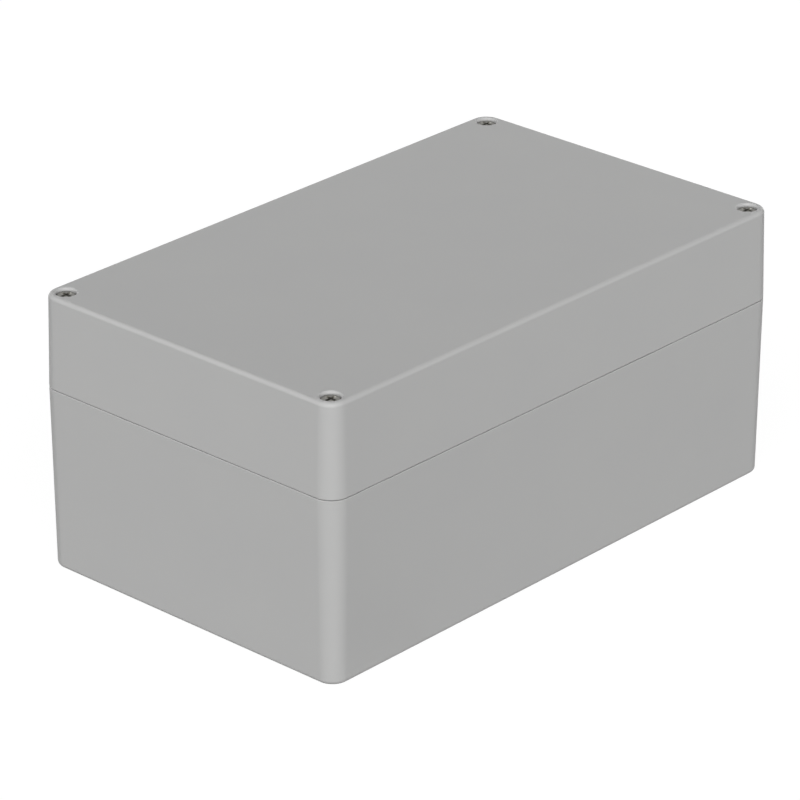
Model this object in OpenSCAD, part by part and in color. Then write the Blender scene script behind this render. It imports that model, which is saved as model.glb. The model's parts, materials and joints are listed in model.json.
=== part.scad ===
// Sealed two-part box, moulded in polycarbonate: a deep base, a deep lid with sunk captive
// screws in its corners, and a tongue and groove seal that passes inside the screws.
// X runs along the box, Y across it, Z up. The origin is the middle of the underside.

/* [Shell] */
// Length of the box at the parting line
box_length = 200; // [160:1:300]
// Width of the box at the parting line
box_width = 120; // [100:1:240]
// Height of the base, from its underside to the parting line
base_height = 60; // [40:1:120]
// Height of the lid, from the parting line to its top
lid_height = 30; // [24:1:80]
// Thickness of the walls at the parting line
wall = 3.5; // [3:0.1:5]
// Thickness of the base's floor
floor_thickness = 3.5; // [2.5:0.1:6]
// Thickness of the lid's roof
roof_thickness = 3.5; // [2.5:0.1:6]
// Radius of the upright corners at the parting line
corner_radius = 6.4; // [4:0.1:9]
// How far each side leans in between the parting line and the far face
draft_inset = 0.7; // [0.1:0.1:1]
// Rounding of the lid's top edges
top_edge_radius = 1.4; // [0.5:0.1:2.5]
// Rounding of the base's bottom edges
bottom_edge_radius = 1.5; // [0.5:0.1:2.5]
// Bevel of both rims where they meet outside
rim_bevel = 0.15; // [0.1:0.05:0.5]
// Gap between the lid's outer lip and the base, which shows as a dark line round the box
lip_gap = 0.25; // [0.1:0.05:0.4]
// How far that gap runs in from outside
lip_depth = 1; // [0.8:0.1:1.5]
// Radius of the sealed space's inside corners
space_corner_radius = 3; // [1:0.5:6]
// Radius of the corner blocks' edges inside
block_edge_radius = 5; // [4:0.5:8]

/* [Seal] */
// Width of the tongue on the base's rim
tongue_width = 1.1; // [0.8:0.1:1.3]
// Height of the tongue above the rim
tongue_height = 1.5; // [1:0.1:3]
// Gap between the tongue and each side of the lid's groove
tongue_clearance = 0.3; // [0.2:0.05:0.4]
// Thickness of the gasket under the pressure of the tongue
gasket_thickness = 1; // [0.6:0.1:2]
// Gap between the gasket and each side of the groove
gasket_clearance = 0.05; // [0.02:0.01:0.1]

/* [Lid screws] */
// Distance of each screw's axis from the outer faces
screw_inset = 6.1; // [5.6:0.1:9]
// Outside diameter of the screw's thread
screw_diameter = 3.4; // [2.9:0.1:4.4]
// How far the screw reaches below the parting line
screw_reach = 9.2; // [7:0.1:14]
// Bevel at the screw's tip
tip_bevel = 0.5; // [0.2:0.1:0.8]
// Diameter of the screw's head
head_diameter = 5.8; // [5:0.1:8]
// Height of the screw's head
head_height = 2.4; // [2:0.1:4]
// Bevel of the head's upper edge
head_bevel = 0.4; // [0.1:0.1:0.8]
// How far the head lies below the lid's top
head_drop = 0.8; // [0.5:0.1:4]
// Width of the cross recess from tip to tip
recess_width = 4.4; // [3:0.1:5]
// Width of each slot of the cross recess
recess_slot = 1.2; // [0.8:0.1:1.4]
// Depth of the cross recess
recess_depth = 1.6; // [1:0.1:1.9]
// Gap around the head in its well
well_clearance = 0.2; // [0.15:0.05:0.5]
// Bevel of the well's mouth
well_bevel = 0.5; // [0.1:0.05:0.8]
// Gap around the screw in the lid's hole
hole_clearance = 0.3; // [0.2:0.05:0.5]
// How far the screw rises until it is out of its insert
screw_rise = 9; // [7:0.1:14]

/* [Captive washers] */
// Diameter of the screw's neck, which the washer sits in
neck_diameter = 2.7; // [2.2:0.1:3.3]
// Outside diameter of the washer
washer_diameter = 6; // [5:0.1:6.6]
// Thickness of the washer
washer_thickness = 1.2; // [0.8:0.1:2]
// Height of the washer above the parting line while the screw is tight
washer_lift = 0.8; // [0.4:0.1:2]
// Gap around the neck in the washer
neck_clearance = 0.1; // [0.05:0.01:0.1]
// Gap above and below the washer in the neck
neck_play = 0.1; // [0.05:0.05:0.3]
// Gap between the washer and its counterbore, around it and above it when raised
counterbore_clearance = 0.3; // [0.2:0.05:0.5]

/* [Thread inserts] */
// Outside diameter of the brass insert
insert_diameter = 5.4; // [5:0.1:6.4]
// Length of the insert
insert_length = 8; // [5:0.5:12]
// How far the insert's top lies below the parting line
insert_drop = 0.5; // [0.2:0.1:2]
// Depth of the groove around the middle of the insert
insert_waist = 0.4; // [0.2:0.1:0.6]
// Height of the groove around the insert
insert_waist_height = 1.6; // [0.8:0.1:2.4]
// Bevel of the insert's bore at both ends
insert_bevel = 0.4; // [0.2:0.1:0.6]
// Gap around the insert in its pocket
insert_clearance = 0.05; // [0.02:0.01:0.1]
// Gap between the screw's thread and the insert's bore
thread_clearance = 0.1; // [0.05:0.01:0.1]
// Room below the screw's tip
tip_room = 2; // [1:0.5:5]

/* [Wall mounting] */
// Distance of each mounting hole from the end of the box
mount_inset_x = 7; // [6.8:0.1:10]
// Distance of each mounting hole from the side of the box
mount_inset_y = 18; // [17:0.5:26]
// Diameter of each mounting hole
mount_hole_diameter = 4.5; // [3.5:0.1:5.5]
// Diameter of the channel that the mounting screw's head goes down
mount_channel_diameter = 9; // [8:0.1:9.4]
// Thickness of plastic under the mounting screw's head
mount_seat = 5; // [3:0.5:10]

/* [Board bosses] */
// Distance of the outer bosses from the corner blocks, along the box
boss_inset_x = 10; // [6:0.5:20]
// Distance of the bosses from the long walls
boss_inset_y = 11.5; // [6:0.5:20]
// Diameter of each boss
boss_diameter = 7; // [5:0.5:9]
// Height of each boss above the floor
boss_height = 6; // [3:0.5:12]
// Diameter of the pilot hole for the board's screw
pilot_diameter = 2.5; // [2:0.1:3.2]
// Thickness left between the pilot hole and the underside
pilot_floor = 2; // [1.5:0.1:3]

/* [Hidden] */
$fn = 64;
shell_grey = [0.66, 0.66, 0.65];
seal_grey = [0.2, 0.2, 0.21];
steel = [0.62, 0.62, 0.63];
brass = [0.75, 0.6, 0.3];
nylon = [0.85, 0.84, 0.8];

// How far a cut runs past the face that it starts from
overcut = 1;

// Corners in order round the box, seen from above
corners = [[-1, -1], [1, -1], [1, 1], [-1, 1]];

// Heights
parting_z = base_height;
top_z = parting_z + lid_height;
seat_z = top_z - head_drop - head_height;
washer_z = parting_z + washer_lift;
counterbore_top = washer_z + washer_thickness + screw_rise + counterbore_clearance;
insert_top = parting_z - insert_drop;

// Places of the axes in the corners
screw_x = box_length / 2 - screw_inset;
screw_y = box_width / 2 - screw_inset;
mount_x = box_length / 2 - mount_inset_x;
mount_y = box_width / 2 - mount_inset_y;

// The sealed space is a cross: its arms reach the walls, and end at the corner blocks
space_x = box_length / 2 - wall;
space_y = box_width / 2 - wall;
block_x = mount_x - mount_channel_diameter / 2 - wall;
block_y = mount_y - mount_channel_diameter / 2 - wall;
boss_x = block_x - boss_inset_x;
boss_y = space_y - boss_inset_y;

// Distances of the seal's edges from the sealed space: it runs along the middle of the wall
seal_middle = wall / 2;
tongue_half = tongue_width / 2;
groove_half = tongue_half + tongue_clearance;
gasket_half = groove_half - gasket_clearance;
groove_depth = tongue_height + gasket_thickness;

// Radii
screw_r = screw_diameter / 2;
hole_r = screw_r + hole_clearance;
well_r = head_diameter / 2 + well_clearance;
counterbore_r = washer_diameter / 2 + counterbore_clearance;
insert_bore_r = screw_r + thread_clearance;

// Section through a wall, from the axis of the corner outwards. The rim is at the bottom, the side
// leans in by the draft, and an arc that touches the side and the far face rounds the edge. Where
// there is a gap, the outer part of the rim lies that much back.
module wall_section(height, edge_radius, gap) {
    lean = atan(draft_inset / height);
    arc = [
        corner_radius - (edge_radius + (height - edge_radius) * sin(lean)) / cos(lean),
        height - edge_radius
    ];
    arc_start = arc + edge_radius * [cos(lean), sin(lean)];
    lip = gap > 0 ? [[corner_radius - lip_depth, 0], [corner_radius - lip_depth, gap]] : [];
    polygon(concat([[0, 0]], lip, [
        [corner_radius - rim_bevel, gap],
        [corner_radius - (gap + rim_bevel) * tan(lean), gap + rim_bevel],
        arc_start,
        arc,
        [arc.x, height],
        [0, height]
    ]));
    translate(arc) circle(edge_radius);
}

// Solid between two opposite walls, with its section reaching to both of them
module wall_slab(reach, run, height, edge_radius, gap) {
    rotate([90, 0, 0]) linear_extrude(2 * run, center = true) {
        translate([-reach, 0]) square([2 * reach, height]);
        for (side = [0, 1]) mirror([side, 0]) translate([reach, 0]) wall_section(height, edge_radius, gap);
    }
}

// Outside of one half of the box, with its rim at Z = 0: revolved corners joined by slabs
module outer_block(height, edge_radius, gap = 0) {
    reach_x = box_length / 2 - corner_radius;
    reach_y = box_width / 2 - corner_radius;
    for (c = corners) {
        translate([c.x * reach_x, c.y * reach_y, 0]) rotate_extrude() wall_section(height, edge_radius, gap);
    }
    wall_slab(reach_x, reach_y, height, edge_radius, gap);
    rotate(90) wall_slab(reach_y, reach_x, height, edge_radius, gap);
}

module rounded_rectangle(half_x, half_y, radius) {
    square(2 * [half_x, half_y - radius], center = true);
    square(2 * [half_x - radius, half_y], center = true);
    for (c = corners) translate([c.x * (half_x - radius), c.y * (half_y - radius)]) circle(radius);
}

// Outline of the sealed space, grown outwards: a cross with round corners, where the corner blocks
// stand in its four notches
module seal_outline(grow) {
    notch = [block_x + grow, block_y + grow];
    notch_radius = block_edge_radius - grow;
    rounded_rectangle(notch.x, space_y + grow, space_corner_radius + grow);
    rounded_rectangle(space_x + grow, notch.y, space_corner_radius + grow);
    for (c = corners) scale([c.x, c.y]) translate(notch) difference() {
        square(notch_radius);
        translate([notch_radius, notch_radius]) circle(notch_radius);
    }
}

// Ring that runs along the middle of the wall and passes inside the corner blocks
module seal_ring(half_width) {
    difference() {
        seal_outline(seal_middle + half_width);
        seal_outline(seal_middle - half_width);
    }
}

module at_screw(i) {
    translate([corners[i - 1].x * screw_x, corners[i - 1].y * screw_y, 0]) children();
}

module at_mounts() {
    for (c = corners) translate([c.x * mount_x, c.y * mount_y, 0]) children();
}

module at_bosses() {
    for (x = [-boss_x, 0, boss_x], y = [-boss_y, boss_y]) translate([x, y, 0]) children();
}

module base() {
    insert_pocket_z = insert_top - insert_length;
    tip_z = parting_z - screw_reach;
    color(shell_grey) difference() {
        union() {
            difference() {
                translate([0, 0, parting_z]) mirror([0, 0, 1])
                    outer_block(base_height, bottom_edge_radius, lip_gap);
                translate([0, 0, floor_thickness]) linear_extrude(base_height) seal_outline(0);
            }
            translate([0, 0, parting_z]) linear_extrude(tongue_height) seal_ring(tongue_half);
            at_bosses() cylinder(h = floor_thickness + boss_height, d = boss_diameter);
        }
        at_bosses() translate([0, 0, pilot_floor]) cylinder(h = floor_thickness + boss_height, d = pilot_diameter);
        for (i = [1:4]) at_screw(i) {
            translate([0, 0, insert_pocket_z])
                cylinder(h = base_height, d = insert_diameter + 2 * insert_clearance);
            translate([0, 0, tip_z - tip_room]) cylinder(h = base_height, r = hole_r);
        }
        at_mounts() {
            translate([0, 0, mount_seat]) cylinder(h = base_height, d = mount_channel_diameter);
            translate([0, 0, -overcut]) cylinder(h = base_height, d = mount_hole_diameter);
        }
    }
}

module lid() {
    space_height = lid_height - roof_thickness;
    color(shell_grey) difference() {
        translate([0, 0, parting_z]) outer_block(lid_height, top_edge_radius);
        translate([0, 0, parting_z - overcut]) {
            linear_extrude(space_height + overcut) seal_outline(0);
            linear_extrude(groove_depth + overcut) seal_ring(groove_half);
            at_mounts() cylinder(h = space_height + overcut, d = mount_channel_diameter);
        }
        for (i = [1:4]) at_screw(i) {
            translate([0, 0, seat_z]) cylinder(h = lid_height, r = well_r);
            translate([0, 0, top_z - well_bevel])
                cylinder(h = well_bevel + overcut, r1 = well_r, r2 = well_r + well_bevel + overcut);
            translate([0, 0, parting_z - overcut]) cylinder(h = lid_height, r = hole_r);
            translate([0, 0, parting_z - overcut])
                cylinder(h = counterbore_top - parting_z + overcut, r = counterbore_r);
        }
    }
}

module gasket() {
    color(seal_grey) translate([0, 0, parting_z + tongue_height])
        linear_extrude(gasket_thickness) seal_ring(gasket_half);
}

// Cross recess, narrowing downwards
module cross_recess() {
    intersection() {
        cylinder(h = recess_depth, r1 = recess_slot, r2 = recess_width / 2);
        linear_extrude(recess_depth) {
            square([recess_width, recess_slot], center = true);
            square([recess_slot, recess_width], center = true);
        }
    }
}

// Captive screw: turned profile with a neck for its washer, and a cross recess in the head
module lid_screw(i) {
    head_r = head_diameter / 2;
    neck_r = neck_diameter / 2;
    head_top = seat_z + head_height;
    neck_low = washer_z - neck_play;
    neck_high = washer_z + washer_thickness + neck_play;
    tip_z = parting_z - screw_reach;
    color(steel) at_screw(i) difference() {
        rotate_extrude() polygon([
            [0, head_top],
            [head_r - head_bevel, head_top],
            [head_r, head_top - head_bevel],
            [head_r, seat_z],
            [screw_r, seat_z],
            [screw_r, neck_high],
            [neck_r, neck_high],
            [neck_r, neck_low],
            [screw_r, neck_low],
            [screw_r, tip_z + tip_bevel],
            [screw_r - tip_bevel, tip_z],
            [0, tip_z]
        ]);
        translate([0, 0, head_top - recess_depth]) cross_recess();
    }
}

module captive_washer(i) {
    color(nylon) at_screw(i) translate([0, 0, washer_z]) difference() {
        cylinder(h = washer_thickness, d = washer_diameter);
        translate([0, 0, -overcut])
            cylinder(h = washer_thickness + 2 * overcut, d = neck_diameter + 2 * neck_clearance);
    }
}

// Brass bush with a groove round its middle, so that the plastic keys into it
module thread_insert(i) {
    outer_r = insert_diameter / 2;
    waist_low = (insert_length - insert_waist_height) / 2;
    waist_high = waist_low + insert_waist_height;
    color(brass) at_screw(i) translate([0, 0, insert_top - insert_length]) rotate_extrude() polygon([
        [insert_bore_r + insert_bevel, 0],
        [outer_r, 0],
        [outer_r, waist_low],
        [outer_r - insert_waist, waist_low],
        [outer_r - insert_waist, waist_high],
        [outer_r, waist_high],
        [outer_r, insert_length],
        [insert_bore_r + insert_bevel, insert_length],
        [insert_bore_r, insert_length - insert_bevel],
        [insert_bore_r, insert_bevel]
    ]);
}

base();
lid();
gasket();
for (i = [1:4]) {
    lid_screw(i);
    captive_washer(i);
    thread_insert(i);
}
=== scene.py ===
import json
import math
import bmesh
import bpy
from mathutils import Matrix, Vector

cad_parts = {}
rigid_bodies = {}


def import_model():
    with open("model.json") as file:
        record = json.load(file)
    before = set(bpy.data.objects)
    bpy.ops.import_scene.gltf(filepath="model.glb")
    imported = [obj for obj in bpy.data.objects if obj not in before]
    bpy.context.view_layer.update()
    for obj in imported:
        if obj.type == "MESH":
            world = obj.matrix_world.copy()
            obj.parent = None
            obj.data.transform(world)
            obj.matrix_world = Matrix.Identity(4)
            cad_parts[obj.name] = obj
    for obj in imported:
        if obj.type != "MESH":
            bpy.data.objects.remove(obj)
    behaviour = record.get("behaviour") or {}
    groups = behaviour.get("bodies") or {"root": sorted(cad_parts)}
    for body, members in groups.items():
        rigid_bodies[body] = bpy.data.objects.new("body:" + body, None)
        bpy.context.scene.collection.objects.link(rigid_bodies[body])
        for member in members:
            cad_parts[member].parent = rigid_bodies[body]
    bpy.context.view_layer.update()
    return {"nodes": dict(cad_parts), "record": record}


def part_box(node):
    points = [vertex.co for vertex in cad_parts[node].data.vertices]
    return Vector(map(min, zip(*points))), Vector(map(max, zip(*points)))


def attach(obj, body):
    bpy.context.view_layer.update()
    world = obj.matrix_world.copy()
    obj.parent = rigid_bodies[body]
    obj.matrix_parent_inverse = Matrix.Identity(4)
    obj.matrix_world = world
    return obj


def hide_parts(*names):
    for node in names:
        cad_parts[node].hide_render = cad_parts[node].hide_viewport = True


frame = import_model()
mm = 0.001
print("frame loaded:", len(frame["nodes"]), "nodes")


def boxOf(nodeName):
    # lowest and highest corner of a solid, in mm
    return [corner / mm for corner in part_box(nodeName)]


def toLinear(hexColour):
    # sRGB hex to the linear values that shaders use
    channels = [int(hexColour[i:i + 2], 16) / 255 for i in (1, 3, 5)]
    return [c / 12.92 if c <= 0.04045 else ((c + 0.055) / 1.055) ** 2.4 for c in channels] + [1.0]


def addNode(tree, kind, settings=None, links=None):
    # settings are the node's own options or its sockets, links are outputs for its sockets
    node = tree.nodes.new(kind)
    for key, value in (settings or {}).items():
        if isinstance(key, str) and hasattr(node, key):
            setattr(node, key, value)
        else:
            node.inputs[key].default_value = value
    for key, source in (links or {}).items():
        tree.links.new(source, node.inputs[key])
    return node


def deselectAll():
    if bpy.context.object and bpy.context.object.mode != "OBJECT":
        bpy.ops.object.mode_set(mode="OBJECT")
    bpy.ops.object.select_all(action="DESELECT")


def pickPiece(piece):
    # the one piece that the next operators act on
    deselectAll()
    piece.select_set(True)
    bpy.context.view_layer.objects.active = piece


# camera: its place and lens put the box's corners where the photo has them
cameraSettings = {
    "aim": (-8.699, -2.168, 43.122),    # mm
    "azimuth": -47.451,    # degrees round Z, from the long face's own normal
    "elevation": 24.989,
    "distance": 1357.23,   # mm
    "lens": 199.78,        # mm
    "sensorWidth": 36,     # mm
    "farthest": 30,        # metres that the camera sees
}


def addCamera(settings):
    turn = math.radians(settings["azimuth"])
    rise = math.radians(settings["elevation"])
    back = Vector((math.sin(turn) * math.cos(rise), -math.cos(turn) * math.cos(rise), math.sin(rise)))
    right = Vector((math.cos(turn), math.sin(turn), 0))
    axes = Matrix((right, back.cross(right), back)).transposed()
    place = (Vector(settings["aim"]) + back * settings["distance"]) * mm
    bpy.ops.object.camera_add()
    camera = bpy.context.object
    camera.matrix_world = Matrix.Translation(place) @ axes.to_4x4()
    camera.data.lens = settings["lens"]
    camera.data.sensor_width = settings["sensorWidth"]
    camera.data.clip_end = settings["farthest"]
    bpy.context.scene.camera = camera


addCamera(cameraSettings)

# studio: an even white room, a key from the camera's side, two side lamps that draw a pale line
# on the rounded edges, and two weak ones for the back
studioSettings = {
    "ambient": 0.09,          # what the white room gives the object
    "floorAmbient": 0.027,    # what the floor gives it besides the light that falls on it
    "floorGlow": 0.96,        # the floor's white as the camera sees it, before the lamps
    "floorColour": "#454545",
    "floorSize": 8.0,         # metres
    "floorDrop": 0.05,        # mm below the object's feet
    "lamps": [
        # name, direction towards the lamp, strength, soft angle in degrees
        ("key", (-0.637, -0.626, 0.450), 3.97, 60),
        ("left", (-0.585, 0.617, 0.527), 0.84, 40),
        ("right", (0.668, -0.702, 0.248), 0.46, 40),
        ("backLeft", (0.30, 0.95, 0.05), 0.60, 20),
        ("backRight", (0.95, 0.30, 0.05), 0.60, 20),
    ],
}


def seenWhite(tree, unseen, seen):
    # one strength for rays that light the object, another where camera, gloss or glass see the room;
    # a Mix node's own numbers for its two values are 2 and 3
    path = addNode(tree, "ShaderNodeLightPath")
    gloss = addNode(tree, "ShaderNodeMath", {"operation": "MAXIMUM"},
                    {0: path.outputs["Is Camera Ray"], 1: path.outputs["Is Glossy Ray"]})
    anySight = addNode(tree, "ShaderNodeMath", {"operation": "MAXIMUM"},
                       {0: gloss.outputs[0], 1: path.outputs["Is Transmission Ray"]})
    return addNode(tree, "ShaderNodeMix", {2: unseen, 3: seen}, {0: anySight.outputs[0]}).outputs[0]


def buildRoom(settings):
    world = bpy.data.worlds.new("whiteRoom")
    bpy.context.scene.world = world
    world.use_nodes = True
    tree = world.node_tree
    background = tree.nodes["Background"]
    background.inputs["Color"].default_value = (1, 1, 1, 1)
    tree.links.new(seenWhite(tree, settings["ambient"], 1.0), background.inputs["Strength"])


def hangLamps(settings):
    for name, towards, strength, softness in settings["lamps"]:
        bpy.ops.object.light_add(type="SUN")
        lamp = bpy.context.object
        lamp.name = name
        lamp.data.energy = strength
        lamp.data.angle = math.radians(softness)
        lamp.rotation_euler = Vector(towards).to_track_quat("Z", "Y").to_euler()


def layFloor(settings):
    # paper that looks white and still takes the object's shadow
    height = -settings["floorDrop"] * mm
    bpy.ops.mesh.primitive_plane_add(size=settings["floorSize"], location=(0, 0, height))
    floor = bpy.context.object
    floor.name = "floor"
    material = bpy.data.materials.new("whitePaper")
    material.use_nodes = True
    tree = material.node_tree
    tree.nodes.remove(tree.nodes["Principled BSDF"])
    glow = addNode(tree, "ShaderNodeEmission", {"Color": (1, 1, 1, 1)},
                   {"Strength": seenWhite(tree, settings["floorAmbient"], settings["floorGlow"])})
    paper = addNode(tree, "ShaderNodeBsdfDiffuse", {"Color": toLinear(settings["floorColour"])})
    both = addNode(tree, "ShaderNodeAddShader", {}, {0: glow.outputs[0], 1: paper.outputs[0]})
    tree.links.new(both.outputs[0], tree.nodes["Material Output"].inputs["Surface"])
    floor.data.materials.append(material)


buildRoom(studioSettings)
hangLamps(studioSettings)
layFloor(studioSettings)
print("studio built")


# a Mix node's own numbers for its two colours and for what comes out
mixFirst = 6
mixSecond = 7
mixResult = 2


def startMaterial(name):
    material = bpy.data.materials.new(name)
    material.use_nodes = True
    tree = material.node_tree
    place = addNode(tree, "ShaderNodeTexCoord").outputs["Object"]
    return material, tree, tree.nodes["Principled BSDF"], place


# shell: pigmented polycarbonate from a spark eroded mould. It gives the eye a dense, even grey
# with a soft sheen, a pale line on every rounded edge and a very fine matt grain.
polycarbonateSettings = {
    "colour": "#A0A0A0",
    "palerColour": "#A3A3A2",
    "ior": 1.586,
    "roughness": (0.55, 0.63),
    "grainWidth": 0.35,      # mm; the mould's pits are near 0.05, drawn coarser so that they show
    "grainDepth": 0.0022,    # mm
    "cloudWidth": 24,        # mm, faint clouds in the pigment
}


def makePolycarbonate(settings):
    material, tree, shader, place = startMaterial("mouldedPolycarbonate")
    colour = toLinear(settings["colour"])
    palerColour = toLinear(settings["palerColour"])
    smooth, rough = settings["roughness"]
    grain = addNode(tree, "ShaderNodeTexNoise",
                    {"Scale": 1 / (settings["grainWidth"] * mm), "Detail": 2.0}, {"Vector": place})
    cloud = addNode(tree, "ShaderNodeTexNoise",
                    {"Scale": 1 / (settings["cloudWidth"] * mm), "Detail": 3.0}, {"Vector": place})
    tint = addNode(tree, "ShaderNodeMix",
                   {"data_type": "RGBA", mixFirst: colour, mixSecond: palerColour}, {0: cloud.outputs[0]})
    gloss = addNode(tree, "ShaderNodeMapRange",
                    {"To Min": smooth, "To Max": rough}, {"Value": grain.outputs[0]})
    bump = addNode(tree, "ShaderNodeBump", {"Strength": 1.0, "Distance": settings["grainDepth"] * mm},
                   {"Height": grain.outputs[0]})
    tree.links.new(tint.outputs[mixResult], shader.inputs["Base Color"])
    tree.links.new(gloss.outputs[0], shader.inputs["Roughness"])
    tree.links.new(bump.outputs[0], shader.inputs["Normal"])
    shader.inputs["IOR"].default_value = settings["ior"]
    return material


# gasket: foamed polyurethane, poured into the groove. Dull dark grey, with small closed cells in its skin.
foamSettings = {
    "colour": "#2E2E30",
    "skinColour": "#3D3D3F",
    "ior": 1.5,
    "roughness": 0.85,
    "cellWidth": 0.45,       # mm, drawn about twice as coarse as real so that it shows
    "cellDepth": 0.05,       # mm
}


def makeFoam(settings):
    material, tree, shader, place = startMaterial("foamedPolyurethane")
    colour = toLinear(settings["colour"])
    skinColour = toLinear(settings["skinColour"])
    cells = addNode(tree, "ShaderNodeTexVoronoi",
                    {"Scale": 1 / (settings["cellWidth"] * mm)}, {"Vector": place})
    tint = addNode(tree, "ShaderNodeMix",
                   {"data_type": "RGBA", mixFirst: colour, mixSecond: skinColour},
                   {0: cells.outputs["Distance"]})
    bump = addNode(tree, "ShaderNodeBump", {"Strength": 0.5, "Distance": settings["cellDepth"] * mm},
                   {"Height": cells.outputs["Distance"]})
    tree.links.new(tint.outputs[mixResult], shader.inputs["Base Color"])
    tree.links.new(bump.outputs[0], shader.inputs["Normal"])
    shader.inputs["Roughness"].default_value = settings["roughness"]
    shader.inputs["IOR"].default_value = settings["ior"]
    return material


# screws: stainless steel, headed and turned. Dim grey metal, faint rings on the head, duller in the recess.
steelSettings = {
    "colour": "#85847F",
    "dullColour": "#6E6D69",
    "roughness": (0.30, 0.46),
    "ringWidth": 0.14,       # mm between turning marks, drawn some three times too coarse so that they show
    "ringDepth": 0.0015,     # mm
    "smearWidth": 0.9,       # mm
}

# inserts: free-cutting brass, turned and knurled. Warm yellow metal with bright crests on the knurl.
brassSettings = {
    "colour": "#B5975A",
    "dullColour": "#9A7F48",
    "roughness": (0.24, 0.38),
    "ringWidth": 0.16,       # mm, also drawn coarser than real
    "ringDepth": 0.0015,     # mm
    "smearWidth": 1.2,       # mm
}


def makeTurnedMetal(name, settings):
    # the rings run round each piece's own axis, which its mesh keeps as an attribute;
    # at scale 1 one ring of the wave node is pi / 10 wide
    material, tree, shader, place = startMaterial(name)
    colour = toLinear(settings["colour"])
    dullColour = toLinear(settings["dullColour"])
    smooth, rough = settings["roughness"]
    axisPlace = addNode(tree, "ShaderNodeAttribute", {"attribute_name": "axisPlace"}).outputs["Vector"]
    rings = addNode(tree, "ShaderNodeTexWave",
                    {"wave_type": "RINGS", "rings_direction": "Z", "Distortion": 0.6, "Detail": 1.0,
                     "Scale": math.pi / (10 * settings["ringWidth"] * mm)}, {"Vector": axisPlace})
    smear = addNode(tree, "ShaderNodeTexNoise",
                    {"Scale": 1 / (settings["smearWidth"] * mm), "Detail": 3.0}, {"Vector": place})
    tint = addNode(tree, "ShaderNodeMix",
                   {"data_type": "RGBA", mixFirst: colour, mixSecond: dullColour}, {0: smear.outputs[0]})
    gloss = addNode(tree, "ShaderNodeMapRange",
                    {"To Min": smooth, "To Max": rough}, {"Value": smear.outputs[0]})
    bump = addNode(tree, "ShaderNodeBump", {"Strength": 1.0, "Distance": settings["ringDepth"] * mm},
                   {"Height": rings.outputs[1]})
    tree.links.new(tint.outputs[mixResult], shader.inputs["Base Color"])
    tree.links.new(gloss.outputs[0], shader.inputs["Roughness"])
    tree.links.new(bump.outputs[0], shader.inputs["Normal"])
    shader.inputs["Metallic"].default_value = 1.0
    return material


# washers: natural nylon, moulded. Creamy, a little waxy, with soft edges.
nylonSettings = {
    "colour": "#D8D3C4",
    "palerColour": "#E2DED2",
    "ior": 1.53,
    "roughness": (0.42, 0.52),
    "cloudWidth": 1.5,       # mm
    "cloudDepth": 0.002,     # mm
    "waxiness": 0.15,        # share of the light that goes through the skin
    "waxDepth": 0.5,         # mm
}


def makeNylon(settings):
    material, tree, shader, place = startMaterial("naturalNylon")
    colour = toLinear(settings["colour"])
    palerColour = toLinear(settings["palerColour"])
    smooth, rough = settings["roughness"]
    cloud = addNode(tree, "ShaderNodeTexNoise",
                    {"Scale": 1 / (settings["cloudWidth"] * mm), "Detail": 4.0}, {"Vector": place})
    tint = addNode(tree, "ShaderNodeMix",
                   {"data_type": "RGBA", mixFirst: colour, mixSecond: palerColour}, {0: cloud.outputs[0]})
    gloss = addNode(tree, "ShaderNodeMapRange",
                    {"To Min": smooth, "To Max": rough}, {"Value": cloud.outputs[0]})
    bump = addNode(tree, "ShaderNodeBump", {"Strength": 1.0, "Distance": settings["cloudDepth"] * mm},
                   {"Height": cloud.outputs[0]})
    tree.links.new(tint.outputs[mixResult], shader.inputs["Base Color"])
    tree.links.new(gloss.outputs[0], shader.inputs["Roughness"])
    tree.links.new(bump.outputs[0], shader.inputs["Normal"])
    shader.inputs["IOR"].default_value = settings["ior"]
    shader.inputs["Subsurface Weight"].default_value = settings["waxiness"]
    shader.inputs["Subsurface Scale"].default_value = settings["waxDepth"] * mm
    return material


polycarbonate = makePolycarbonate(polycarbonateSettings)
foam = makeFoam(foamSettings)
steel = makeTurnedMetal("turnedStainlessSteel", steelSettings)
brass = makeTurnedMetal("turnedBrass", brassSettings)
nylon = makeNylon(nylonSettings)
print("materials made")

# shaping: what the pieces have in common, with all sizes in mm
overcut = 0.3         # how far a cutting tool runs past the face that it starts from
overlap = 0.2         # how far shapes that are joined run into each other
clear = 0.05          # how far a tool keeps off a surface that it leaves as it is
sharpAngle = 25       # degrees between two faces, from which on their edge is rounded
markSegments = 40     # in the round marks of the mould
samePlace = 0.02      # heights and distances that differ by less are the same
levelNormal = 0.999   # a face is level if its normal is at least this upright
solidMerge = 0.004    # points of a solid's loose triangles that lie closer become one
turnedMerge = 0.001   # and so do points of a turned piece
flatAngle = 0.05      # degrees, up to which neighbouring faces are one flat area
flatWeight = 90       # how strongly large flat faces lead the shading beside them
fewSteps = 2          # faces across a small rounded edge
someSteps = 3         # across a plain one
manySteps = 4         # and across a wide or much seen one
cornerCount = 4       # corners of the box, with a screw in each


def near(a, b):
    return abs(a - b) < samePlace


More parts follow.
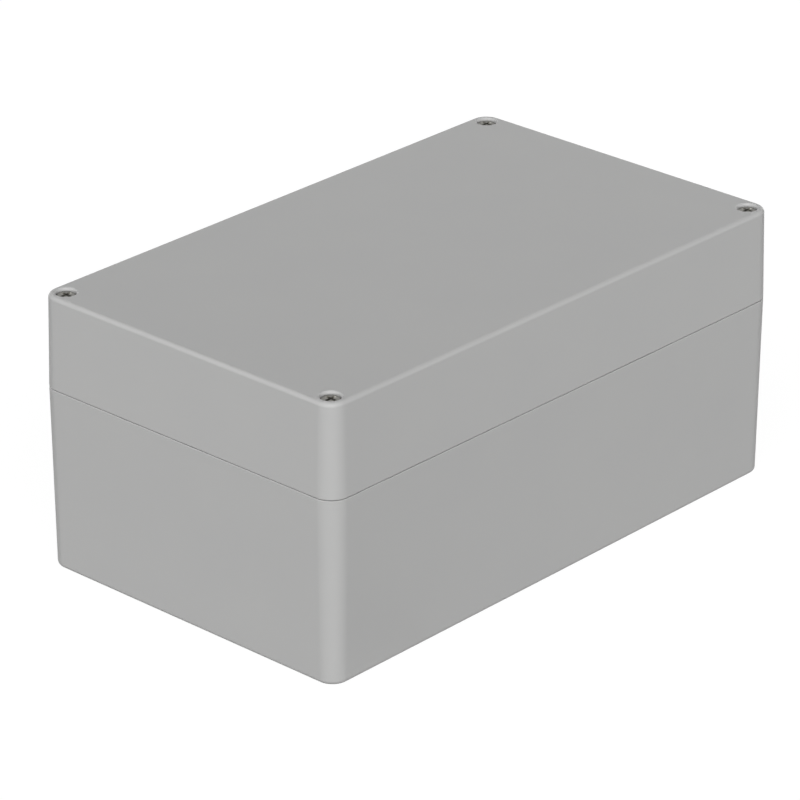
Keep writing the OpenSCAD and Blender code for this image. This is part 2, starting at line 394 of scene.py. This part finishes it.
def roundEdges(piece, height, outward, radius, steps, test=None):
    # rounds the sharp level edges at a height, outward or inward ones, whose middles pass the test
    pickPiece(piece)
    bpy.ops.object.mode_set(mode="EDIT")
    bpy.ops.mesh.select_mode(type="EDGE")
    bpy.ops.mesh.select_all(action="DESELECT")
    mesh = bmesh.from_edit_mesh(piece.data)
    count = 0
    for edge in mesh.edges:
        if not edge.is_manifold or edge.is_convex != outward:
            continue
        one, other = [vertex.co / mm for vertex in edge.verts]
        level = near(one.z, height) and near(other.z, height)
        if not level or edge.calc_face_angle() < math.radians(sharpAngle):
            continue
        if test is None or test((one + other) / 2):
            edge.select_set(True)
            count += 1
    bmesh.update_edit_mesh(piece.data)
    if count:
        bpy.ops.mesh.bevel(offset=radius * mm, segments=steps, affect="EDGES", clamp_overlap=False)
    bpy.ops.object.mode_set(mode="OBJECT")
    return count


def frameFlat(piece, height, width):
    # an even border inside a flat area, so that the edges round it can be rounded cleanly
    pickPiece(piece)
    bpy.ops.object.mode_set(mode="EDIT")
    bpy.ops.mesh.select_mode(type="FACE")
    bpy.ops.mesh.select_all(action="DESELECT")
    mesh = bmesh.from_edit_mesh(piece.data)
    for face in mesh.faces:
        if abs(face.normal.z) > levelNormal and near(face.calc_center_median().z / mm, height):
            face.select_set(True)
    bmesh.update_edit_mesh(piece.data)
    bpy.ops.mesh.inset(thickness=width * mm)
    bpy.ops.object.mode_set(mode="OBJECT")


def smoothPiece(piece, angle):
    # smooth shading up to the angle in degrees, flat faces kept flat
    pickPiece(piece)
    bpy.ops.object.shade_smooth_by_angle(angle=math.radians(angle))
    weighted = piece.modifiers.new("flatFaces", "WEIGHTED_NORMAL")
    weighted.keep_sharp = True
    weighted.weight = flatWeight
    bpy.ops.object.modifier_apply(modifier=weighted.name)


def finishPiece(piece, material, body, node):
    piece.data.materials.clear()
    piece.data.materials.append(material)
    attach(piece, body)
    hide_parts(node)


def shellFromNode(nodeName, pieceName):
    # a merged copy of the solid, with flat areas as single faces
    pickPiece(frame["nodes"][nodeName])
    bpy.ops.object.duplicate()
    piece = bpy.context.object
    bpy.ops.object.parent_clear(type="CLEAR_KEEP_TRANSFORM")
    for key in list(piece.keys()):
        del piece[key]
    piece.name = pieceName
    piece.data.name = pieceName
    bpy.ops.object.mode_set(mode="EDIT")
    bpy.ops.mesh.select_all(action="SELECT")
    bpy.ops.mesh.remove_doubles(threshold=solidMerge * mm)
    bpy.ops.mesh.customdata_custom_splitnormals_clear()
    bpy.ops.mesh.dissolve_limited(angle_limit=math.radians(flatAngle))
    bpy.ops.object.mode_set(mode="OBJECT")
    return piece


def startRing(name, radius, height, segments, filled):
    deselectAll()
    bpy.ops.mesh.primitive_circle_add(vertices=segments, radius=radius * mm, location=(0, 0, height * mm),
                                      fill_type="NGON" if filled else "NOTHING")
    piece = bpy.context.object
    piece.name = name
    piece.data.name = name
    bpy.ops.object.transform_apply(location=True, rotation=False, scale=False)
    bpy.ops.object.mode_set(mode="EDIT")
    bpy.ops.mesh.select_all(action="SELECT")
    return piece


def drawUp(outline):
    # the selected ring is extruded from each (radius, height) to the next
    radius, height = outline[0]
    for nextRadius, nextHeight in outline[1:]:
        step = (0, 0, (nextHeight - height) * mm)
        bpy.ops.mesh.extrude_region_move(TRANSFORM_OT_translate={"value": step})
        grow = nextRadius / radius
        bpy.ops.transform.resize(value=(grow, grow, 1), center_override=(0, 0, 0))
        radius, height = nextRadius, nextHeight


def closePiece():
    bpy.ops.mesh.select_all(action="SELECT")
    bpy.ops.mesh.remove_doubles(threshold=turnedMerge * mm)
    bpy.ops.mesh.normals_make_consistent(inside=False)
    bpy.ops.object.mode_set(mode="OBJECT")


def turnSolid(name, outline, segments):
    radius, height = outline[0]
    piece = startRing(name, radius, height, segments, True)
    drawUp(outline)
    closePiece()
    return piece


def turnRing(name, outline, segments):
    radius, height = outline[0]
    piece = startRing(name, radius, height, segments, False)
    drawUp(outline + outline[:1])
    closePiece()
    return piece


def combine(piece, tool, operation):
    # boolean with a tool that is used up
    pickPiece(piece)
    joining = piece.modifiers.new("joining", "BOOLEAN")
    joining.operation = operation
    joining.solver = "EXACT"
    joining.object = tool
    bpy.ops.object.modifier_apply(modifier=joining.name)
    bpy.data.objects.remove(tool)


def sinkDisc(piece, place, radius, low, high):
    disc = turnSolid("disc", [(radius, low), (radius, high)], markSegments)
    bpy.ops.transform.translate(value=(place[0] * mm, place[1] * mm, 0))
    combine(piece, disc, "DIFFERENCE")


# shells: both halves with the small edge radii that a mould leaves
baseLow, baseHigh = boxOf("base")
lidLow, lidHigh = boxOf("lid")
plateThickness = 3.5    # of the floor and the roof
bossMount = [mount for mount in frame["record"]["mounts"] if mount["name"] == "board_bosses"][0]
bossX = bossMount["dims"]["spacing_x_mm"] / 2
bossY = bossMount["dims"]["spacing_y_mm"] / 2
shellSizes = {
    "halfLength": lidHigh.x,
    "halfWidth": lidHigh.y,
    "cornerRadius": 6.4,     # of the outline at the parting line
    "underside": baseLow.z,
    "floorTop": baseLow.z + plateThickness,
    "rim": lidLow.z,
    "tongueTop": baseHigh.z,
    "roofUnder": lidHigh.z - plateThickness,
    "top": lidHigh.z,
    "wellBevel": 0.5,
    "bosses": [(x, y) for x in (-bossX, 0, bossX) for y in (-bossY, bossY)],
    "bossTop": bossMount["pos_m"][2] / mm,
    "bossReach": 3.7,        # edges nearer than this to a boss's axis belong to it
    "baseLand": 1.5,         # nearer than this to the outside, the base's rim keeps its sharp step
    "lidLand": 0.5,          # and the lid's rim its bevel
    "rimRound": 0.25,        # edge radii from here
    "tongueRound": 0.3,
    "insideFillet": 1.2,
    "bossFillet": 0.7,
    "bossRound": 0.3,
    "holeRound": 0.3,
    "mouthRound": 0.1,
    "wellRound": 0.2,
    "floorBorder": 2.0,      # borders of the flat areas, a little wider than the rounding beside them
    "undersideBorder": 0.4,
    "rimBorder": 0.3,
    "pinRadius": 3.0,        # marks of the mould's ejector pins, and of its gate under the floor
    "pinDepth": 0.12,
    "floorPins": [(x, y) for x in (-50, 0, 50) for y in (-18, 18)],
    "roofPins": [(x, y) for x in (-64, 0, 64) for y in (-26, 26)],
    "gateRadius": 4.0,
    "gateDepth": 0.4,
    "stubRadius": 0.9,
    "stubGap": 0.15,
    "smoothAngle": 32,       # degrees, edges sharper than this stay sharp in the shading
}


def insetFromSide(point, sizes):
    # how far a point lies inside the outline at the parting line
    pastX = abs(point.x) - (sizes["halfLength"] - sizes["cornerRadius"])
    pastY = abs(point.y) - (sizes["halfWidth"] - sizes["cornerRadius"])
    return sizes["cornerRadius"] - math.hypot(max(pastX, 0), max(pastY, 0)) - min(max(pastX, pastY), 0)


def sinkGate(piece, sizes):
    # round dimple under the floor, with the stub of the gate left standing in it
    bottom = sizes["underside"]
    outline = [
        (sizes["gateRadius"], bottom - overcut),
        (sizes["gateRadius"], bottom + sizes["gateDepth"]),
        (sizes["stubRadius"], bottom + sizes["gateDepth"]),
        (sizes["stubRadius"], bottom + sizes["stubGap"]),
    ]
    combine(piece, turnSolid("gate", outline, markSegments), "DIFFERENCE")


def buildBase(sizes):
    piece = shellFromNode("base", "baseShell")
    floorTop = sizes["floorTop"]
    frameFlat(piece, floorTop, sizes["floorBorder"])
    sinkGate(piece, sizes)
    frameFlat(piece, sizes["underside"], sizes["undersideBorder"])

    def byBoss(p):
        return min(math.hypot(p.x - x, p.y - y) for x, y in sizes["bosses"]) < sizes["bossReach"]

    def byWall(p):
        return not byBoss(p)

    def insideLand(p):
        return insetFromSide(p, sizes) > sizes["baseLand"]

    counts = [
        roundEdges(piece, floorTop, False, sizes["insideFillet"], manySteps, byWall),
        roundEdges(piece, floorTop, False, sizes["bossFillet"], someSteps, byBoss),
        roundEdges(piece, sizes["bossTop"], True, sizes["bossRound"], fewSteps),
        roundEdges(piece, sizes["tongueTop"], True, sizes["tongueRound"], someSteps),
        roundEdges(piece, sizes["rim"], True, sizes["rimRound"], fewSteps, insideLand),
        roundEdges(piece, sizes["underside"], True, sizes["holeRound"], fewSteps, insideLand),
    ]
    for place in sizes["floorPins"]:
        sinkDisc(piece, place, sizes["pinRadius"], floorTop - sizes["pinDepth"], floorTop + overcut)
    smoothPiece(piece, sizes["smoothAngle"])
    finishPiece(piece, polycarbonate, "base", "base")
    print("base shell:", counts, "edges rounded,", len(piece.data.polygons), "faces")


def buildLid(sizes):
    piece = shellFromNode("lid", "lidShell")
    roofUnder = sizes["roofUnder"]
    frameFlat(piece, sizes["rim"], sizes["rimBorder"])

    def insideLand(p):
        return insetFromSide(p, sizes) > sizes["lidLand"]

    counts = [
        roundEdges(piece, roofUnder, False, sizes["insideFillet"], manySteps),
        roundEdges(piece, sizes["rim"], True, sizes["rimRound"], fewSteps, insideLand),
        roundEdges(piece, sizes["top"] - sizes["wellBevel"], True, sizes["wellRound"], fewSteps),
        roundEdges(piece, sizes["top"], True, sizes["mouthRound"], fewSteps),
    ]
    for place in sizes["roofPins"]:
        sinkDisc(piece, place, sizes["pinRadius"], roofUnder - overcut, roofUnder + sizes["pinDepth"])
    smoothPiece(piece, sizes["smoothAngle"])
    finishPiece(piece, polycarbonate, "lid", "lid")
    print("lid shell:", counts, "edges rounded,", len(piece.data.polygons), "faces")


buildBase(shellSizes)
buildLid(shellSizes)

# gasket: one endless cord, its section rounded all the way
gasketLow, gasketHigh = boxOf("gasket")
gasketSizes = {
    "low": gasketLow.z,
    "high": gasketHigh.z,
    "round": 0.42,
    "smoothAngle": 60,
}


def buildGasket(sizes):
    piece = shellFromNode("gasket", "gasketCord")
    counts = [roundEdges(piece, sizes[end], True, sizes["round"], manySteps) for end in ("low", "high")]
    smoothPiece(piece, sizes["smoothAngle"])
    finishPiece(piece, foam, "lid", "gasket")
    print("gasket cord:", counts, "edges rounded,", len(piece.data.polygons), "faces")


buildGasket(gasketSizes)


def threadRod(name, rootRadius, crestRadius, pitch, bottom, top, segments):
    # one tooth's outline is drawn up the side, wound round the axis and cut off at both ends
    crestShare = 0.14        # of the pitch, for the flat at the crest and at the root
    spareTurns = 2           # at each end, to be cut off
    windingMerge = 0.002     # mm, between one turn and the next
    cutTolerance = 0.0001    # mm
    startSize = 0.1          # mm, of the square that is merged to the outline's first point
    flankShare = 0.5 - crestShare
    depth = crestRadius - rootRadius
    tooth = [(0, crestShare), (depth, flankShare), (0, crestShare), (-depth, flankShare)]
    deselectAll()
    bpy.ops.mesh.primitive_plane_add(size=startSize * mm, location=(0, 0, 0))
    piece = bpy.context.object
    piece.name = name
    bpy.ops.object.mode_set(mode="EDIT")
    bpy.ops.mesh.select_mode(type="VERT")
    bpy.ops.mesh.select_all(action="SELECT")
    bpy.ops.mesh.merge(type="CENTER")
    bpy.ops.transform.translate(value=(rootRadius * mm, 0, (bottom - spareTurns * pitch) * mm))
    for across, share in tooth:
        step = Vector((across, 0, share * pitch)) * mm
        bpy.ops.mesh.extrude_region_move(TRANSFORM_OT_translate={"value": step})
    bpy.ops.object.mode_set(mode="OBJECT")
    winding = piece.modifiers.new("winding", "SCREW")
    winding.axis = "Z"
    winding.screw_offset = pitch * mm
    winding.iterations = int((top - bottom) / pitch) + 2 * spareTurns
    winding.steps = segments
    winding.render_steps = segments
    winding.use_merge_vertices = True
    winding.merge_threshold = windingMerge * mm
    bpy.ops.object.modifier_apply(modifier=winding.name)
    bpy.ops.object.mode_set(mode="EDIT")
    for height, side in ((bottom, 1), (top, -1)):
        bpy.ops.mesh.select_all(action="SELECT")
        bpy.ops.mesh.bisect(plane_co=(0, 0, height * mm), plane_no=(0, 0, side), use_fill=True,
                            clear_inner=True, threshold=cutTolerance * mm)
    closePiece()
    return piece


def keepAxisPlace(piece):
    # each point's place from the piece's own axis, for the turning marks
    places = piece.data.attributes.new("axisPlace", "FLOAT_VECTOR", "POINT")
    for vertex in piece.data.vertices:
        places.data[vertex.index].vector = vertex.co


def copyToCorners(piece, material, pieceName, bodyName, nodeName):
    # one copy for each corner, with its own mesh and its place in the mesh
    for number in range(1, cornerCount + 1):
        low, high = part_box("lid_screw_%d" % number)
        axis = (low + high) / 2
        pickPiece(piece)
        bpy.ops.object.duplicate()
        copy = bpy.context.object
        copy.name = pieceName + str(number)
        copy.data.name = copy.name
        bpy.ops.transform.translate(value=(axis.x, axis.y, 0))
        bpy.ops.object.transform_apply(location=True, rotation=False, scale=False)
        finishPiece(copy, material, bodyName.format(number), nodeName.format(number))
    print(cornerCount, "copies of", pieceName, "with", len(piece.data.polygons), "faces each")
    bpy.data.objects.remove(piece)


# lid screws: cheese head with a cross recess, long plain shank, neck for the washer, fine thread
screwLow, screwHigh = boxOf("lid_screw_1")
washerLow, washerHigh = boxOf("captive_washer_1")
neckPlay = 0.1    # above and below the washer in the neck
screwSizes = {
    "headTop": screwHigh.z,
    "headRadius": (screwHigh.x - screwLow.x) / 2,
    "headHeight": 2.4,
    "headRound": 0.32,
    "headLowerRound": 0.14,
    "headCrown": 0.06,       # how much lower the head's rim is than its middle
    "crownRadius": 0.7,
    "headFillet": 0.15,      # between the shank and the head
    "shankRadius": 1.7,
    "shankBevel": 0.3,       # above the neck
    "neckRadius": 1.35,
    "neckLow": washerLow.z - neckPlay,
    "neckHigh": washerHigh.z + neckPlay,
    "tip": screwLow.z,
    "tipBevel": 0.6,
    "threadEnd": 0.15,       # below the neck
    "threadFade": 0.65,      # length over which the thread runs out
    "threadDepth": 0.34,
    "pitch": 0.6,
    "recessWidth": 1.1,
    "recessSpan": 4.4,
    "recessDepth": 1.25,
    "recessTaper": 0.5,      # the floor's share of the mouth
    "segments": 48,
    "smoothAngle": 35,
}


def buildThread(sizes):
    # a threaded rod, cut down to a bevelled tip and a run-out below the neck
    crest = sizes["shankRadius"]
    top = sizes["neckLow"] - sizes["threadEnd"]
    rod = threadRod("screw", crest - sizes["threadDepth"], crest, sizes["pitch"], sizes["tip"], top,
                    sizes["segments"])
    outline = [
        (crest + clear - sizes["tipBevel"], sizes["tip"]),
        (crest + clear, sizes["tip"] + sizes["tipBevel"]),
        (crest + clear, top - sizes["threadFade"]),
        (sizes["neckRadius"] - clear, top),
    ]
    combine(rod, turnSolid("envelope", outline, sizes["segments"]), "INTERSECT")
    return rod


def buildShank(sizes):
    # neck, shank and head in one turned piece, which starts inside the thread's end
    seat = sizes["headTop"] - sizes["headHeight"]
    start = sizes["neckLow"] - sizes["threadEnd"] - overlap
    headRim = sizes["headTop"] - sizes["headCrown"]
    outline = [
        (sizes["neckRadius"] - overlap, start - overlap),
        (sizes["neckRadius"], start),
        (sizes["neckRadius"], sizes["neckHigh"]),
        (sizes["shankRadius"], sizes["neckHigh"] + sizes["shankBevel"]),
        (sizes["shankRadius"], seat - sizes["headFillet"]),
        (sizes["shankRadius"] + sizes["headFillet"], seat),
        (sizes["headRadius"], seat),
        (sizes["headRadius"], headRim),
        (sizes["crownRadius"], sizes["headTop"]),
    ]
    shank = turnSolid("shank", outline, sizes["segments"])
    roundEdges(shank, seat, True, sizes["headLowerRound"], fewSteps)
    roundEdges(shank, headRim, True, sizes["headRound"], manySteps)
    return shank


def buildRecess(sizes):
    # a cross drawn by extruding a square's four sides, then sunk with a taper
    deselectAll()
    width = sizes["recessWidth"]
    arm = (sizes["recessSpan"] - width) / 2
    bpy.ops.mesh.primitive_plane_add(size=width * mm, location=(0, 0, (sizes["headTop"] + overcut) * mm))
    piece = bpy.context.object
    bpy.ops.object.transform_apply(location=True, rotation=False, scale=False)
    bpy.ops.object.mode_set(mode="EDIT")
    bpy.ops.mesh.select_mode(type="EDGE")
    for side in (Vector((1, 0, 0)), Vector((-1, 0, 0)), Vector((0, 1, 0)), Vector((0, -1, 0))):
        bpy.ops.mesh.select_all(action="DESELECT")
        mesh = bmesh.from_edit_mesh(piece.data)
        for edge in mesh.edges:
            middle = (edge.verts[0].co + edge.verts[1].co) / 2 / mm
            if near((middle.xy - side.xy * width / 2).length, 0):
                edge.select_set(True)
        bmesh.update_edit_mesh(piece.data)
        bpy.ops.mesh.extrude_region_move(TRANSFORM_OT_translate={"value": side * arm * mm})
    bpy.ops.mesh.select_all(action="SELECT")
    sink = (0, 0, -(sizes["recessDepth"] + overcut) * mm)
    bpy.ops.mesh.extrude_region_move(TRANSFORM_OT_translate={"value": sink})
    taper = sizes["recessTaper"]
    bpy.ops.transform.resize(value=(taper, taper, 1), center_override=(0, 0, 0))
    closePiece()
    return piece


def buildScrews(sizes):
    screw = buildThread(sizes)
    combine(screw, buildShank(sizes), "UNION")
    combine(screw, buildRecess(sizes), "DIFFERENCE")
    keepAxisPlace(screw)
    smoothPiece(screw, sizes["smoothAngle"])
    copyToCorners(screw, steel, "screw", "screw_{}", "lid_screw_{}")


buildScrews(screwSizes)

# captive washers: moulded rings with round edges
washerSizes = {
    "low": washerLow.z,
    "high": washerHigh.z,
    "radius": (washerHigh.x - washerLow.x) / 2,
    "holeRadius": 1.45,
    "outerRound": 0.14,
    "holeRound": 0.07,
    "segments": 48,
    "smoothAngle": 40,
}


def buildWashers(sizes):
    low, high = sizes["low"], sizes["high"]
    outer, hole = sizes["radius"], sizes["holeRadius"]
    washer = turnRing("washer", [(hole, low), (outer, low), (outer, high), (hole, high)], sizes["segments"])

    def byHole(p):
        return p.xy.length < (hole + outer) / 2

    def byRim(p):
        return not byHole(p)

    for height in (low, high):
        roundEdges(washer, height, True, sizes["outerRound"], someSteps, byRim)
        roundEdges(washer, height, True, sizes["holeRound"], fewSteps, byHole)
    smoothPiece(washer, sizes["smoothAngle"])
    copyToCorners(washer, nylon, "washer", "washer_{}", "captive_washer_{}")


buildWashers(washerSizes)

# thread inserts: turned ring, slanted knurl in two bands with a waist between, a thread cut inside
insertLow, insertHigh = boxOf("thread_insert_1")
insertSizes = {
    "middle": (insertLow.z + insertHigh.z) / 2,
    "halfHeight": (insertHigh.z - insertLow.z) / 2,
    "knurlRadius": (insertHigh.x - insertLow.x) / 2,
    "plainRadius": 2.5,      # beside the knurl
    "waistRadius": 2.3,
    "waistHalf": 0.8,        # half the waist's height
    "edgeBevel": 0.15,
    "boreRadius": 1.8,
    "mouthBevel": 0.35,
    "threadRadius": 2.05,
    "pitch": 0.6,
    "knurlStart": 1.1,       # first row's height from the middle
    "knurlStep": 0.6,        # between rows
    "knurlBevel": 0.1,       # height of the slope at both ends of a band
    "knurlRows": 5,
    "knurlShare": 0.93,      # of the radius, left in the cuts
    "segments": 64,
    "threadSegments": 48,
    "smoothAngle": 25,
}


def insertOutline(sizes):
    # the upper half's outline from the waist outwards, then the same mirrored below
    plain, bore = sizes["plainRadius"], sizes["boreRadius"]
    half = sizes["halfHeight"]
    step = sizes["knurlStep"]
    bevel = sizes["knurlBevel"]
    knurl = [(sizes["knurlRadius"], sizes["knurlStart"] + step * row) for row in range(sizes["knurlRows"])]
    knurlEnd = knurl[-1][1]
    upper = [(sizes["waistRadius"], sizes["waistHalf"]), (plain, sizes["knurlStart"] - bevel)] + knurl + [
        (plain, knurlEnd + bevel),
        (plain, half - sizes["edgeBevel"]),
        (plain - sizes["edgeBevel"], half),
        (bore + sizes["mouthBevel"], half),
        (bore, half - sizes["mouthBevel"]),
    ]
    middle = sizes["middle"]
    lower = [(radius, middle - height) for radius, height in reversed(upper)]
    return lower + [(radius, middle + height) for radius, height in upper]


def cutKnurl(piece, sizes):
    # two points in four of each row go inwards, one point further on from row to row
    bpy.ops.object.mode_set(mode="EDIT")
    bpy.ops.mesh.select_mode(type="VERT")
    bpy.ops.mesh.select_all(action="DESELECT")
    mesh = bmesh.from_edit_mesh(piece.data)
    for vertex in mesh.verts:
        place = vertex.co / mm
        if not near(place.xy.length, sizes["knurlRadius"]):
            continue
        row = round((place.z - sizes["middle"]) / sizes["knurlStep"])
        step = round(math.atan2(place.y, place.x) / math.tau * sizes["segments"])
        vertex.select_set((step + row) % 4 < 2)
    bmesh.update_edit_mesh(piece.data)
    bpy.ops.transform.resize(value=(sizes["knurlShare"], sizes["knurlShare"], 1), center_override=(0, 0, 0))
    bpy.ops.object.mode_set(mode="OBJECT")


def buildInserts(sizes):
    insert = turnRing("insert", insertOutline(sizes), sizes["segments"])
    cutKnurl(insert, sizes)
    low = sizes["middle"] - sizes["halfHeight"] - overcut
    high = sizes["middle"] + sizes["halfHeight"] + overcut
    rod = threadRod("insertThread", sizes["boreRadius"] - clear, sizes["threadRadius"], sizes["pitch"],
                    low, high, sizes["threadSegments"])
    combine(insert, rod, "DIFFERENCE")
    keepAxisPlace(insert)
    smoothPiece(insert, sizes["smoothAngle"])
    copyToCorners(insert, brass, "insert", "base", "thread_insert_{}")


buildInserts(insertSizes)

bpy.context.scene.view_settings.view_transform = "Standard"
